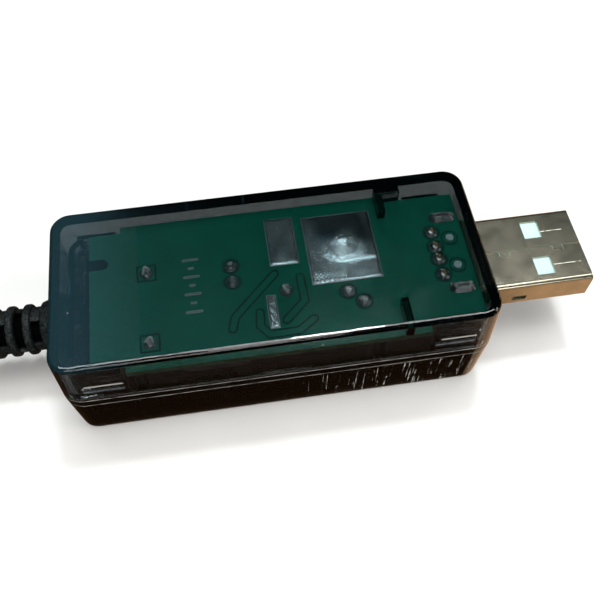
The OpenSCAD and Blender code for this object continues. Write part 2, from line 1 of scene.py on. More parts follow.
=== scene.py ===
import math
import bmesh
import bpy
import numpy as np
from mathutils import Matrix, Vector


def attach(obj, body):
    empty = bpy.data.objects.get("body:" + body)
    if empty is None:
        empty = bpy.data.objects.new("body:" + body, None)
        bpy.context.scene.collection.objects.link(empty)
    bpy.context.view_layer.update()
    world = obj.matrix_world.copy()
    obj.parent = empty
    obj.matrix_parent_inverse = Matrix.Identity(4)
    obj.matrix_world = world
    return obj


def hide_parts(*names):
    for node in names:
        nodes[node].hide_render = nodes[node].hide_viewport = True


# In-circuit programmer in a smoked snap-fit case. Everything is in metres, in the part's own frame:
# +X is the way the plug points and Z = 0 is what the case stands on.
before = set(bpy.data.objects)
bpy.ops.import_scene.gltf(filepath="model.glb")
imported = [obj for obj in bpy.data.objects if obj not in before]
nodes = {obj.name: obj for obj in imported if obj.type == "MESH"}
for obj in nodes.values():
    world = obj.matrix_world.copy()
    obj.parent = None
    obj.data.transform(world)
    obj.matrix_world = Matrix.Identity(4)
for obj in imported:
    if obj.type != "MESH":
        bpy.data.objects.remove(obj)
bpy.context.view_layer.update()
mm = 0.001
print("frame loaded:", len(nodes), "nodes")


def addObject(name, data):
    # an object at the origin that holds the data, linked to the scene
    made = bpy.data.objects.new(name, data)
    bpy.context.scene.collection.objects.link(made)
    return made


camera = {
    "target": (0.00476, 0.00456, 0.0),
    "distance": 0.11663,
    "azimuth": -8.63,    # degrees round the object from straight in front
    "elevation": 58.64,  # degrees above the horizon
    "lens": 45.14,
    "sensor": 36.0,
}


def makeCamera(v):
    # the camera stands back from its target along a direction given by azimuth and elevation, and faces it
    turn = math.radians(v["azimuth"])
    rise = math.radians(v["elevation"])
    back = Vector((math.sin(turn) * math.cos(rise), -math.cos(turn) * math.cos(rise), math.sin(rise)))
    data = bpy.data.cameras.new("camera")
    data.lens = v["lens"]
    data.sensor_width = v["sensor"]
    data.clip_start = 0.001
    data.clip_end = 10
    made = addObject("camera", data)
    made.location = Vector(v["target"]) + back * v["distance"]
    made.rotation_euler = (-back).to_track_quat("-Z", "Y").to_euler()
    bpy.context.scene.camera = made


makeCamera(camera)
print("camera made")


def gridFaces(rows, columns, closeRows=False, closeColumns=False):
    # quads between neighbouring points of a rows x columns grid, wrapped round where it closes
    r = np.arange(rows if closeRows else rows - 1)
    c = np.arange(columns if closeColumns else columns - 1)
    r, c = (a.ravel() for a in np.meshgrid(r, c, indexing="ij"))
    r2 = (r + 1) % rows
    c2 = (c + 1) % columns
    return np.stack([r * columns + c, r * columns + c2, r2 * columns + c2, r2 * columns + c], 1)


def addMesh(name, points, faces, material, body="base_unit", smooth=True, closed=True):
    # closed pieces get their open ends filled and their faces turned outwards
    mesh = bpy.data.meshes.new(name)
    mesh.from_pydata(np.asarray(points, float).reshape(-1, 3).tolist(), [], np.asarray(faces).tolist())
    mesh.validate()
    if closed:
        work = bmesh.new()
        work.from_mesh(mesh)
        bmesh.ops.holes_fill(work, edges=work.edges)
        bmesh.ops.recalc_face_normals(work, faces=work.faces)
        work.to_mesh(mesh)
        work.free()
    if smooth:
        mesh.shade_smooth()
    else:
        mesh.shade_flat()
    mesh.materials.append(material)
    made = addObject(name, mesh)
    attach(made, body)
    return made


def newMaterial(name, **values):
    # a principled material, with each value set on the shader's own socket
    made = bpy.data.materials.new(name)
    made.use_nodes = True
    tree = made.node_tree
    shader = tree.nodes["Principled BSDF"]
    for key, value in values.items():
        socket = shader.inputs[key.replace("_", " ")]
        socket.default_value = (*value, 1.0) if isinstance(value, tuple) else value
    return made, tree, shader


def addNode(tree, kind, inputs=None, **settings):
    # a node with its settings; an input is either linked from a socket or given a value
    made = tree.nodes.new(kind)
    for key, value in settings.items():
        setattr(made, key, value)
    for key, value in (inputs or {}).items():
        if isinstance(value, bpy.types.NodeSocket):
            tree.links.new(value, made.inputs[key])
        else:
            made.inputs[key].default_value = value
    return made


def objectPoint(tree, scale=(1, 1, 1), turn=(0, 0, 0), move=(0, 0, 0)):
    # the point on the piece, through a Mapping node
    place = addNode(tree, "ShaderNodeTexCoord")
    mapping = addNode(tree, "ShaderNodeMapping", {"Vector": place.outputs["Object"], "Scale": scale,
                                                  "Rotation": turn, "Location": move})
    return mapping.outputs["Vector"]


def noise(tree, point, scale, detail=3.0, rough=0.5, warp=0.0):
    # cloudy noise round 0.5, finer with a larger scale
    made = addNode(tree, "ShaderNodeTexNoise", {"Vector": point, "Scale": scale, "Detail": detail,
                                                "Roughness": rough, "Distortion": warp})
    return made.outputs["Fac"]


def spread(tree, value, low, high, toLow=0.0, toHigh=1.0, soft=False):
    # toLow at low and toHigh at high, straight or eased between them and level beyond
    made = addNode(tree, "ShaderNodeMapRange", {"Value": value, "From Min": low, "From Max": high,
                                                "To Min": toLow, "To Max": toHigh})
    made.interpolation_type = "SMOOTHSTEP" if soft else "LINEAR"
    return made.outputs["Result"]


def calc(tree, operation, a, b=0.0):
    # one sum on two values, each a socket or a number
    return addNode(tree, "ShaderNodeMath", {0: a, 1: b}, operation=operation).outputs[0]


def product(tree, first, *others):
    # all the values multiplied together
    for other in others:
        first = calc(tree, "MULTIPLY", first, other)
    return first


def axes(tree, letters):
    # the named coordinates of the point on the piece
    place = addNode(tree, "ShaderNodeTexCoord")
    made = addNode(tree, "ShaderNodeSeparateXYZ", {"Vector": place.outputs["Object"]})
    return [made.outputs[letter] for letter in letters]


def tint(tree, amount, low, high):
    # low where amount is 0 and high where it is 1
    made = addNode(tree, "ShaderNodeMix", data_type="RGBA")
    for socket, value in (("A", low), ("B", high)):
        slot = [s for s in made.inputs if s.name == socket and s.type == "RGBA"][0]
        if isinstance(value, bpy.types.NodeSocket):
            tree.links.new(value, slot)
        else:
            slot.default_value = (*value, 1.0)
    tree.links.new(amount, made.inputs["Factor"])
    return [s for s in made.outputs if s.type == "RGBA"][0]


def bump(tree, shader, height, depth):
    # relief whose height of 1 stands depth metres proud
    made = addNode(tree, "ShaderNodeBump", {"Height": height, "Distance": depth, "Strength": 1.0})
    tree.links.new(made.outputs["Normal"], shader.inputs["Normal"])


def within(tree, value, low, high, edge):
    # 1 between low and high, falling to 0 over the edge's width
    rise = spread(tree, value, low - edge, low)
    fall = spread(tree, value, high, high + edge, 1.0, 0.0)
    return calc(tree, "MULTIPLY", rise, fall)


def scratchAmount(tree, v, x, y, z):
    # upright broken lines on the near wall's lower right: stretched noise above a level, where a second
    # noise is above its own
    lines = spread(tree, noise(tree, objectPoint(tree, (4800, 400, 80), (0, 0.08, 0)), 1.0, 3.0, 0.6),
                   0.625, 0.645)
    broken = spread(tree, noise(tree, objectPoint(tree), 420, 4.0, 0.7), 0.45, 0.56)
    wall = spread(tree, y, v["nearWall"], v["nearWall"] - 0.0003)
    low = product(tree, spread(tree, z, *v["scratchHigh"]), spread(tree, z, *v["scratchLow"]))
    right = spread(tree, x, *v["scratchRight"])
    return product(tree, lines, broken, wall, right, low, v["scratch"])


def barHighlightAmount(tree, v, x, y, z, bar):
    # a painted highlight line on the near wall, where a latch's ledge would catch the light, within a
    # rectangle of x and z
    x0, x1, z0, z1 = bar
    line = product(tree, within(tree, x, x0, x1, 0.0002), within(tree, z, z0, z1, 0.00004))
    return product(tree, line, spread(tree, y, v["nearWall"], v["nearWall"] - 0.0002), v["bar"])


def seamHighlightAmount(tree, v, x, y, z, seam):
    # painted highlight in a level band of z, where the parting line's edges would catch the light, broken by
    # dust grit, on the outer faces only
    grit = spread(tree, noise(tree, objectPoint(tree), 700, 3.0, 0.7), 0.35, 0.65, 0.3, 1.0)
    sides = spread(tree, calc(tree, "ABSOLUTE", y), v["skinAt"], v["skinAt"] + 0.0002)
    ends = spread(tree, calc(tree, "ABSOLUTE", x), v["endAt"], v["endAt"] + 0.0002)
    return product(tree, within(tree, z, *seam, 0.00003), grit, calc(tree, "MAXIMUM", sides, ends), v["seam"])


def swirlAmount(tree, v, turn):
    # hair scratches one way: long thin noise turned about z, in patches of a slow noise
    hairs = noise(tree, objectPoint(tree, (2600, 130, 130), (0, 0, turn)), 1.0, 2.0, 0.6)
    patch = spread(tree, noise(tree, objectPoint(tree), 150, 2.0), 0.52, 0.62)
    return product(tree, spread(tree, hairs, 0.70, 0.76), patch, v["swirl"])


def smokedPlastic(name, v):
    # clear dark plastic: glass that lets the lamps' light through, with a body colour from absorption, and
    # a pale matt shader mixed in by the sum of its marks: real dust and scratches, painted highlights on the
    # seams and the near wall's bars, and a painted blue reflection on the roof's left end
    made, tree, shader = newMaterial(name, Base_Color=v["skin"], Transmission_Weight=1.0, IOR=v["bending"])
    smear = noise(tree, objectPoint(tree), 160, 5.0, 0.6, 0.4)
    tree.links.new(spread(tree, smear, 0.35, 0.75, v["polish"], v["smear"]), shader.inputs["Roughness"])
    bump(tree, shader, noise(tree, objectPoint(tree), 90, 2.0), v["ripple"])
    x, y, z = axes(tree, "XYZ")
    roof = spread(tree, z, *v["roof"])
    # the marks' shader: its colour is that of real dust and also of the painted highlights, and on the roof
    # the painted reflection's blue
    dustAndPaintedLight = addNode(tree, "ShaderNodeBsdfPrincipled", {"Roughness": 0.6})
    tree.links.new(tint(tree, roof, v["dustAndPaintedLight"], v["filmColour"]), dustAndPaintedLight.inputs["Base Color"])
    marks = [scratchAmount(tree, v, x, y, z),
             # painted reflection: a blue tint coming in towards the roof's left end
             product(tree, spread(tree, x, *v["paintedReflectionFrom"], soft=True), roof, v["film"])]
    marks += [barHighlightAmount(tree, v, x, y, z, bar) for bar in v["bars"]]
    marks += [seamHighlightAmount(tree, v, x, y, z, seam) for seam in v["seams"]]
    marks += [swirlAmount(tree, v, turn) for turn in v["swirls"]]
    amount = v["haze"]
    for mark in marks:
        amount = calc(tree, "ADD", mark, amount)
    surface = addNode(tree, "ShaderNodeMixShader", {0: amount, 1: shader.outputs[0], 2: dustAndPaintedLight.outputs[0]})
    clear = addNode(tree, "ShaderNodeBsdfTransparent", {"Color": (*v["skin"], 1.0)})
    ray = addNode(tree, "ShaderNodeLightPath")
    lamp = addNode(tree, "ShaderNodeMixShader", {0: ray.outputs["Is Shadow Ray"], 1: surface.outputs[0],
                                                 2: clear.outputs[0]})
    body = addNode(tree, "ShaderNodeVolumeAbsorption", {"Color": (*v["body"], 1.0), "Density": v["density"]})
    output = tree.nodes["Material Output"]
    tree.links.new(lamp.outputs[0], output.inputs["Surface"])
    tree.links.new(body.outputs[0], output.inputs["Volume"])
    return made


smoke = {
    "skin": (0.93, 0.95, 0.97),
    "bending": 1.42,
    "polish": 0.015,
    "smear": 0.07,
    "ripple": 0.000006,
    # colour of the dust and of the painted highlights
    "dustAndPaintedLight": (0.80, 0.78, 0.74),
    "haze": 0.0004,                   # dust all over
    "nearWall": -0.0116,              # y just inside the near wall's outer face
    "roof": (0.0172, 0.0176),         # z over which the roof begins
    "scratch": 0.9,
    "scratchRight": (0.000, 0.014),   # x over which the scratches come in
    "scratchLow": (0.0003, 0.001),    # z over which they come in from below
    "scratchHigh": (0.0084, 0.0079),  # z over which they come in from above
    "film": 0.026,                    # painted reflection: a blue tint on the roof's left end, standing for a blue sky glow
    "paintedReflectionFrom": (-0.015, -0.027),     # x over which it comes in
    # colour of the painted reflection, and of the dust and painted highlights on the roof
    "filmColour": (0.16, 0.60, 0.78),
    "bars": [],                       # painted highlights on the near wall, for the light the latches' ledges catch: x from, x to, z from, z to
    "bar": 0.4,
    "seams": [],                      # bands of painted highlight broken by dust grit: z from, z to
    "seam": 0.8,
    "skinAt": 0.0117,                 # how far out from the middle the sides' outer faces begin
    "endAt": 0.0282,                  # and the ends'
    "swirls": [0.5, -0.35, 1.25],     # radians, the ways the hair scratches run
    "swirl": 0.05,
    "body": (0.13, 0.15, 0.15),
    "density": 900.0,
}


def boardMask(v):
    # solder mask: a lighter bare-laminate stripe at the cable end, then the green over copper, and the
    # laminate's own colour on the cut edge
    made, tree, shader = newMaterial("board_mask", Specular_IOR_Level=0.3)
    x, z = axes(tree, "XZ")
    cloud = noise(tree, objectPoint(tree), 180, 4.0, 0.6)
    fine = noise(tree, objectPoint(tree), 1800, 3.0, 0.6)
    copper = tint(tree, spread(tree, cloud, 0.3, 0.7), v["copperLow"], v["copperHigh"])
    bare = tint(tree, spread(tree, fine, 0.3, 0.7), v["bareLow"], v["bareHigh"])
    pour = spread(tree, x, v["pourEdge"] - 0.0001, v["pourEdge"] + 0.0001)
    face = tint(tree, pour, bare, copper)
    rim = tint(tree, spread(tree, noise(tree, objectPoint(tree, (300, 300, 4000)), 1.0), 0.35, 0.65),
               v["edgeLow"], v["edgeHigh"])
    side = product(tree, spread(tree, z, *v["edgeLowest"]), spread(tree, z, *v["edgeHighest"]))
    tree.links.new(tint(tree, side, face, rim), shader.inputs["Base Color"])
    tree.links.new(spread(tree, fine, 0.3, 0.7, 0.16, 0.26), shader.inputs["Roughness"])
    bump(tree, shader, fine, 0.000012)
    return made


board = {
    "copperLow": (0.001, 0.185, 0.115),
    "copperHigh": (0.002, 0.23, 0.142),
    "bareLow": (0.020, 0.20, 0.13),
    "bareHigh": (0.035, 0.23, 0.15),
    "edgeLow": (0.05, 0.11, 0.035),
    "edgeHigh": (0.10, 0.17, 0.06),
    "edgeLowest": (0.01362, 0.01366),   # z over which the cut edge begins and ends
    "edgeHighest": (0.01458, 0.01454),
    "pourEdge": -0.0175,                # x where the copper begins
}


def metal(name, colour, dull, bright, grain=0.000004, scale=900, dark=0.75):
    # polished or plated metal with cloudy tarnish and a fine grain
    made, tree, shader = newMaterial(name, Metallic=1.0)
    cloud = noise(tree, objectPoint(tree), scale * 0.25, 5.0, 0.6, 0.3)
    fine = noise(tree, objectPoint(tree), scale * 3.0, 3.0, 0.6)
    worn = tuple(c * dark for c in colour)
    tree.links.new(tint(tree, spread(tree, cloud, 0.3, 0.7), worn, colour), shader.inputs["Base Color"])
    tree.links.new(spread(tree, cloud, 0.3, 0.7, dull, bright), shader.inputs["Roughness"])
    bump(tree, shader, fine, grain)
    return made


def plastic(name, low, high, dull=0.55, bright=0.4, grain=0.000006, scale=1500, **values):
    # moulded plastic or rubber with a fine spark-eroded grain and slow colour changes
    made, tree, shader = newMaterial(name, **values)
    cloud = noise(tree, objectPoint(tree), scale * 0.12, 4.0, 0.6)
    fine = noise(tree, objectPoint(tree), scale, 4.0, 0.65)
    tree.links.new(tint(tree, spread(tree, cloud, 0.3, 0.7), low, high), shader.inputs["Base Color"])
    tree.links.new(spread(tree, fine, 0.3, 0.7, dull, bright), shader.inputs["Roughness"])
    bump(tree, shader, fine, grain)
    return made


def reliefRubber(v):
    # grained rubber on the rings, going to painted shade, a dull black, down in the slots: by distance from
    # the cable's axis
    made, tree, shader = newMaterial("relief_rubber", Specular_IOR_Level=v["shine"])
    y, z = axes(tree, "YZ")
    up = calc(tree, "SUBTRACT", z, v["axis"])
    away = calc(tree, "SQRT", calc(tree, "ADD", product(tree, y, y), product(tree, up, up)))
    fine = noise(tree, objectPoint(tree), 3000, 3.0, 0.7)
    grain = tint(tree, spread(tree, fine, 0.42, 0.72), v["low"], v["high"])
    tree.links.new(grain, shader.inputs["Base Color"])
    tree.links.new(spread(tree, fine, 0.3, 0.7, 0.62, 0.42), shader.inputs["Roughness"])
    bump(tree, shader, fine, 0.00005)
    # painted shade: a black matt shader down in the slots between the rings
    slot = addNode(tree, "ShaderNodeBsdfDiffuse", {"Color": (0.001, 0.001, 0.001, 1.0)})
    depth = spread(tree, away, v["shadedWithin"], v["proud"])
    both = addNode(tree, "ShaderNodeMixShader", {0: depth, 1: slot.outputs[0], 2: shader.outputs[0]})
    tree.links.new(both.outputs[0], tree.nodes["Material Output"].inputs["Surface"])
    return made


relief = {
    "axis": 0.009,      # z of the cable's axis
    "shadedWithin": 0.0024,     # distance from the axis within which the slots are painted shade, and where the rings begin
    "proud": 0.0029,
    "shine": 0.12,
    "low": (0.002, 0.0025, 0.0025),
    "high": (0.026, 0.034, 0.034),
}


def plugNickel(v):
    # nickel-plated plug shell: hazy plate, fine speckle and two rub lines from the windows to the mouth
    made, tree, shader = newMaterial("plug_nickel", Metallic=1.0)
    x, y = axes(tree, "XY")
    cloud = noise(tree, objectPoint(tree), 260, 6.0, 0.65, 0.4)
    speck = noise(tree, objectPoint(tree), 5200, 3.0, 0.7)
    base = tint(tree, spread(tree, cloud, 0.3, 0.7), v["dark"], v["light"])
    rub = 0.0
    for start, end, middle in v["rubs"]:
        across = within(tree, y, middle - v["rubHalf"], middle + v["rubHalf"], 0.00004)
        rub = calc(tree, "MAXIMUM", product(tree, within(tree, x, start, end, 0.0002), across), rub)
    rub = product(tree, rub, spread(tree, noise(tree, objectPoint(tree), 1500, 2.0), 0.35, 0.5))
    tree.links.new(tint(tree, rub, base, v["rubbed"]), shader.inputs["Base Color"])
    rough = spread(tree, cloud, 0.3, 0.7, v["dull"], v["bright"])
    tree.links.new(calc(tree, "ADD", rough, product(tree, rub, 0.3)), shader.inputs["Roughness"])
    bump(tree, shader, calc(tree, "ADD", speck, product(tree, cloud, 0.3)), 0.000005)
    return made


nickel = {
    "dark": (0.43, 0.39, 0.30),
    "light": (0.52, 0.475, 0.365),
    "rubbed": (0.95, 0.90, 0.80),
    "dull": 0.24,
    "bright": 0.17,
    "rubs": [(0.0389, 0.0419, 0.00255), (0.0392, 0.0428, -0.0031)],  # x from, x to, y
    "rubHalf": 0.00003,
}


def capacitorSleeve(v):
    # shrunk sleeve with a pale stripe down one side and the bare can showing at its end
    made, tree, shader = newMaterial("capacitor_sleeve", Roughness=0.3)
    x, z = axes(tree, "XZ")
    sleeve = tint(tree, within(tree, x, *v["stripe"], 0.00005), v["sleeve"], v["mark"])
    fine = noise(tree, objectPoint(tree), 1200, 3.0)
    end = spread(tree, z, *v["endAt"])
    tree.links.new(tint(tree, end, sleeve, v["can"]), shader.inputs["Base Color"])
    tree.links.new(end, shader.inputs["Metallic"])
    bump(tree, shader, fine, 0.000004)
    return made


capacitor = {
    "stripe": (-0.0090, -0.0074),   # x from and to
    "endAt": (0.00618, 0.00612),    # z over which the bare can begins
    "sleeve": (0.010, 0.012, 0.05),
    "mark": (0.55, 0.57, 0.60),
    "can": (0.75, 0.75, 0.74),
}

# what differs from the common smoked plastic in the upper shell, the lower shell and the tongues
topSmoke = {
    # the seam at the parting line is a painted highlight
    "seams": [(0.00992, 0.00998)],
    # the near wall's bars are painted highlights
    "bars": [(-0.0251, -0.0204, 0.0134, 0.0137), (0.0209, 0.0254, 0.0134, 0.0137)],
}
baseSmoke = {
    "bending": 1.30,
    "body": (0.16, 0.10, 0.06),
    "density": 1700.0,
    # the seam at the parting line is a painted highlight
    "seams": [(0.00857, 0.00862)],
}
springSmoke = {
    "body": (0.16, 0.12, 0.10),
    "dustAndPaintedLight": (0.8, 0.85, 0.88),
    # the tongues' band is a painted highlight on the catches' ledges
    "seams": [(0.01112, 0.01138)],
    "seam": 0.9,
    "skinAt": 0.0105,
}
clearSmoke = smokedPlastic("smoked_plastic_top", {**smoke, **topSmoke})
lowerSmoke = smokedPlastic("smoked_plastic_base", {**smoke, **baseSmoke})
tongueSmoke = smokedPlastic("smoked_plastic_tongues", {**smoke, **springSmoke})
greenMask = boardMask(board)
tin = metal("tinned_copper", (0.42, 0.46, 0.48), 0.45, 0.25, 0.00002, 500)
solder = metal("bright_solder", (0.92, 0.95, 0.95), 0.30, 0.16, 0.00002, 900, 0.9)
cutLead = metal("cut_lead", (0.96, 0.98, 0.98), 0.50, 0.36, 0.00001, 900, 0.95)
leadTin = metal("tinned_lead", (0.70, 0.71, 0.72), 0.35, 0.2)
gold = metal("gold_contact", (0.83, 0.58, 0.24), 0.35, 0.22)
canMetal = metal("can_metal", (0.72, 0.72, 0.71), 0.4, 0.25)
plugMetal = plugNickel(nickel)
nylon = plastic("contact_nylon", (0.44, 0.66, 0.66), (0.54, 0.73, 0.73), 0.5, 0.35)
epoxy = plastic("chip_epoxy", (0.012, 0.012, 0.014), (0.026, 0.026, 0.028), 0.75, 0.55, 0.00001, 2600)
ceramic = plastic("chip_ceramic", (0.42, 0.30, 0.17), (0.55, 0.42, 0.26), 0.6, 0.45)
glaze = plastic("resistor_glaze", (0.010, 0.010, 0.011), (0.020, 0.020, 0.022), 0.35, 0.2)
choke = plastic("choke_coating", (0.05, 0.25, 0.15), (0.08, 0.35, 0.22), 0.5, 0.3, 0.00002, 700)
lens = plastic("led_lens", (0.80, 0.93, 0.78), (0.88, 0.97, 0.86), 0.35, 0.25, 0.000003, 900,
               Transmission_Weight=0.7, IOR=1.5)
rubber = reliefRubber(relief)
jacket = plastic("cable_jacket", (0.009, 0.009, 0.010), (0.016, 0.016, 0.018), 0.5, 0.38, 0.000015, 1800)
socketPlastic = plastic("socket_plastic", (0.014, 0.014, 0.015), (0.026, 0.026, 0.028), 0.55, 0.4)
strap = plastic("strap_weave", (0.030, 0.030, 0.034), (0.07, 0.07, 0.075), 0.95, 0.8, 0.0001, 2600)
sleeve = capacitorSleeve(capacitor)

finishes = {
    "upper_shell": clearSmoke, "lower_shell": lowerSmoke, "snap_tongues": tongueSmoke,
    "circuit_board": greenMask, "tinned_pads": tin, "solder_joints": solder,
    "usb_plug_shell": plugMetal, "usb_insulator": nylon, "usb_contacts": gold,
    "microcontroller_body": epoxy, "microcontroller_leads": leadTin,
    "buffer_body": epoxy, "buffer_leads": leadTin, "regulator_body": epoxy, "regulator_leads": leadTin,
    "crystal_can": canMetal, "crystal_leads": leadTin, "capacitor_can": sleeve, "capacitor_leads": leadTin,
    "choke_body": choke, "choke_leads": leadTin, "status_led": lens, "led_leads": leadTin,
    "test_pin": leadTin, "chip_capacitors": ceramic, "chip_resistors": glaze, "chip_terminals": leadTin,
    "strain_relief": rubber, "connector_body": socketPlastic, "connector_socket": socketPlastic,
    "connector_contacts": gold,
}
for name, finish in finishes.items():
    nodes[name].data.materials.clear()
    nodes[name].data.materials.append(finish)
print("finishes set")


# the cord runs straight out of the strain relief and is then folded into a flat hank of three layers
cord = {
    "diameter": 4.0,       # mm
    "foldNear": -84.0,     # x of the middle of the folds nearest the case
    "foldFar": -128.0,     # x of the middle of the far folds
    "foldRadius": 12.0,
    "waist": 6.2,          # how far each side's runs are from the middle under the tie
    "tieRise": 0.8,        # the tie's strap passes under the runs
    "layers": 3,
    "foldPoints": 9,
    "runPoints": 5,
    "climbEnd": 15.0,      # degrees: a near fold is up on its next layer by here
}
leadRoute = [
    (-43.8, 0, 9), (-47, 0, 9), (-50, 0, 8.6), (-53, 0, 7.8), (-56, 0.1, 6.7), (-59, 0.4, 5.5),
    (-62, 1.3, 4.3), (-65, 2.8, 3.2), (-68, 4.7, 2.4), (-71, 6.7, 2), (-74, 8.7, 2), (-79, 11.1, 2),
]
tailRoute = [
    (-132, 12, 10), (-136, 11.9, 9.7), (-140, 11.5, 8.8), (-144, 10.8, 7.4), (-148, 10, 5.8),
    (-152, 9.2, 4.5), (-156, 8.7, 3.7), (-160, 8.5, 3.5),
]


def hankRun(v, side, level, towardsFar):
    # a run between the folds, drawn in to the waist as a raised cosine and lifted over the strap there
    middle = (v["foldNear"] + v["foldFar"]) / 2
    half = (v["foldNear"] - v["foldFar"]) / 2
    u = np.linspace(half, -half, v["runPoints"] + 2)[1:-1]
    u = u if towardsFar else -u
    swell = (1 - np.cos(np.pi * np.abs(u) / half)) / 2
    y = side * (v["waist"] + (v["foldRadius"] - v["waist"]) * swell)
    return np.stack([middle + u, y, level + v["tieRise"] * (1 - swell)], 1)


def hankFold(v, near, level):
    # half a circle round the fold's middle; a near fold climbs one cord's diameter as it goes
    if near:
        turn = np.radians(np.linspace(-90, 90, v["foldPoints"]))
        rise = np.clip((np.degrees(turn) + 90) / (90 + v["climbEnd"]), 0, 1)
        z = level + v["diameter"] * (1 - np.cos(np.pi * rise)) / 2
        x = v["foldNear"] + v["foldRadius"] * np.cos(turn)
    else:
        turn = np.radians(np.linspace(90, 270, v["foldPoints"]))
        z = np.full(v["foldPoints"], level)
        x = v["foldFar"] + v["foldRadius"] * np.cos(turn)
    return np.stack([x, v["foldRadius"] * np.sin(turn), z], 1)


def cordRoute(v):
    # the lead, then a run out, a far fold, a run back and a near fold for each layer, then the tail
    parts = [np.array(leadRoute, float), np.array([[v["foldNear"], v["foldRadius"], v["diameter"] / 2]])]
    for layer in range(v["layers"]):
        level = v["diameter"] * (layer + 0.5)
        parts.append(hankRun(v, 1, level, True))
        if layer < v["layers"] - 1:
            parts.append(hankFold(v, False, level))
            parts.append(hankRun(v, -1, level, False))
            parts.append(hankFold(v, True, level))
    parts.append(np.array([[v["foldFar"], v["foldRadius"], v["diameter"] * (v["layers"] - 0.5)]]))
    parts.append(np.array(tailRoute, float))
    return np.concatenate(parts) * mm


def addCord(v, band):
    # a round tube along a smooth curve through the route's points
    route = cordRoute(v)
    curve = bpy.data.curves.new("target_cable", "CURVE")
    curve.dimensions = "3D"
    curve.bevel_depth = v["diameter"] / 2 * mm
    curve.bevel_resolution = 6
    curve.resolution_u = 8
    curve.use_fill_caps = True
    line = curve.splines.new("BEZIER")
    line.bezier_points.add(len(route) - 1)
    line.bezier_points.foreach_set("co", route.ravel())
    for point in line.bezier_points:
        point.handle_left_type = "AUTO"
        point.handle_right_type = "AUTO"
    curve.materials.append(jacket)
    made = addObject("target_cable", curve)
    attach(made, "base_unit")
    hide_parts("cable_lead", "cable_hank", "cable_tail")
    steps = np.linalg.norm(np.diff(route, axis=0), axis=1)
    print("cord route of", len(route), "points,", round(float(steps.sum()), 4), "m between points")
    return made


strapBand = {
    "middle": -106.0,      # x of the band's middle
    "width": 6.0,
    "thick": 0.76,
    "corner": 2.4,         # radius of the band's middle round the outermost cords
    "side": 6.2,           # y of those cords
    "low": 2.8,            # height of the lowest and the highest cords under it
    "high": 10.8,
    "sag": 0.5,
    "overlap": 0.2,        # how much of the way round is doubled
    "riseFrom": 0.84,      # where on the way round the band begins to climb on its own start
    "riseOver": 0.12,
}


def bandWay(v, rows=150):
    # a rounded rectangle round the bundle, by length from the middle of its top; its second turn rises
    # by one thickness as a smooth step and lies on the first
    cornerAt = [(-v["side"], v["high"], 90), (-v["side"], v["low"], 180), (v["side"], v["low"], 270),
                (v["side"], v["high"], 0)]
    turn = np.radians(np.linspace(0, 90, 9))
    points = [np.column_stack([y + v["corner"] * np.cos(turn + np.radians(a)),
                               z + v["corner"] * np.sin(turn + np.radians(a))]) for y, z, a in cornerAt]
    top = v["high"] + v["corner"]
    points = np.concatenate([[(0, top)], *points, [(0, top)]])
    far = np.concatenate([[0], np.cumsum(np.linalg.norm(np.diff(points, axis=0), axis=1))])
    along = np.linspace(0, 1 + v["overlap"], rows)
    at = (along % 1) * far[-1]
    y, z = np.interp(at, far, points[:, 0]), np.interp(at, far, points[:, 1])
    z = z - np.where(z > top - 0.05, v["sag"] * np.cos(np.clip(y / v["side"], -1, 1) * np.pi / 2) ** 2, 0)
    line = np.column_stack([y, z])
    ahead = np.gradient(line, axis=0)
    ahead /= np.linalg.norm(ahead, axis=1)[:, None]
    out = np.column_stack([ahead[:, 1], -ahead[:, 0]])
    step = np.clip((along - v["riseFrom"]) / v["riseOver"], 0, 1)
    return line + out * (v["thick"] * step * step * (3 - 2 * step))[:, None], out


def addStrap(v):
    # a flat profile with round edges, carried along the way and square to it
    line, out = bandWay(v)
    t = np.linspace(0, 2 * np.pi, 24, endpoint=False)
    across = np.sign(np.cos(t)) * np.abs(np.cos(t)) ** 0.15 * v["width"] / 2
    proud = np.sign(np.sin(t)) * np.abs(np.sin(t)) ** 0.6 * v["thick"] / 2
    rows = np.empty((len(line), len(t), 3))
    rows[:, :, 0] = v["middle"] + across
    rows[:, :, 1] = line[:, None, 0] + out[:, None, 0] * proud
    rows[:, :, 2] = line[:, None, 1] + out[:, None, 1] * proud
    made = addMesh("strap_band", rows.reshape(-1, 3) * mm, gridFaces(len(line), len(t), False, True), strap)
    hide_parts("hank_tie")
    return made


addCord(cord, addStrap(strapBand))
print("cord made")


# six insulated wires, each its own colour
wireColours = {
    "red": (0.42, 0.015, 0.012), "black": (0.012, 0.012, 0.012), "blue": (0.015, 0.05, 0.30),
    "green": (0.02, 0.20, 0.05), "yellow": (0.60, 0.42, 0.02), "white": (0.62, 0.62, 0.60),
}


def looseParts(source, merge=1e-6):
    # the separate bodies of a mesh whose vertices are merged, largest y first: each vertex takes the lowest
    # label of the triangles it is in, until no label changes
    points = np.zeros(len(source.vertices) * 3)
    source.vertices.foreach_get("co", points)
    points = points.reshape(-1, 3)
    keys = np.round(points / merge).astype(np.int64)
    unique, inverse = np.unique(keys, axis=0, return_inverse=True)
    inverse = inverse.ravel()
    corners = np.zeros(len(source.loops), np.int64)
    source.loops.foreach_get("vertex_index", corners)
    triangles = inverse[corners].reshape(-1, 3)
    label = np.arange(len(unique))
    while True:
        lowest = label[triangles].min(1)
        new = label.copy()
        for k in range(3):
            np.minimum.at(new, triangles[:, k], lowest)
        if (new == label).all():
            break
        label = new
    merged = unique * merge
    found = []
    for group in np.unique(label):
        own = np.flatnonzero(label == group)
        faces = triangles[label[triangles[:, 0]] == group]
        found.append((merged[own], np.searchsorted(own, faces)))
    return sorted(found, key=lambda f: -f[0][:, 1].max())


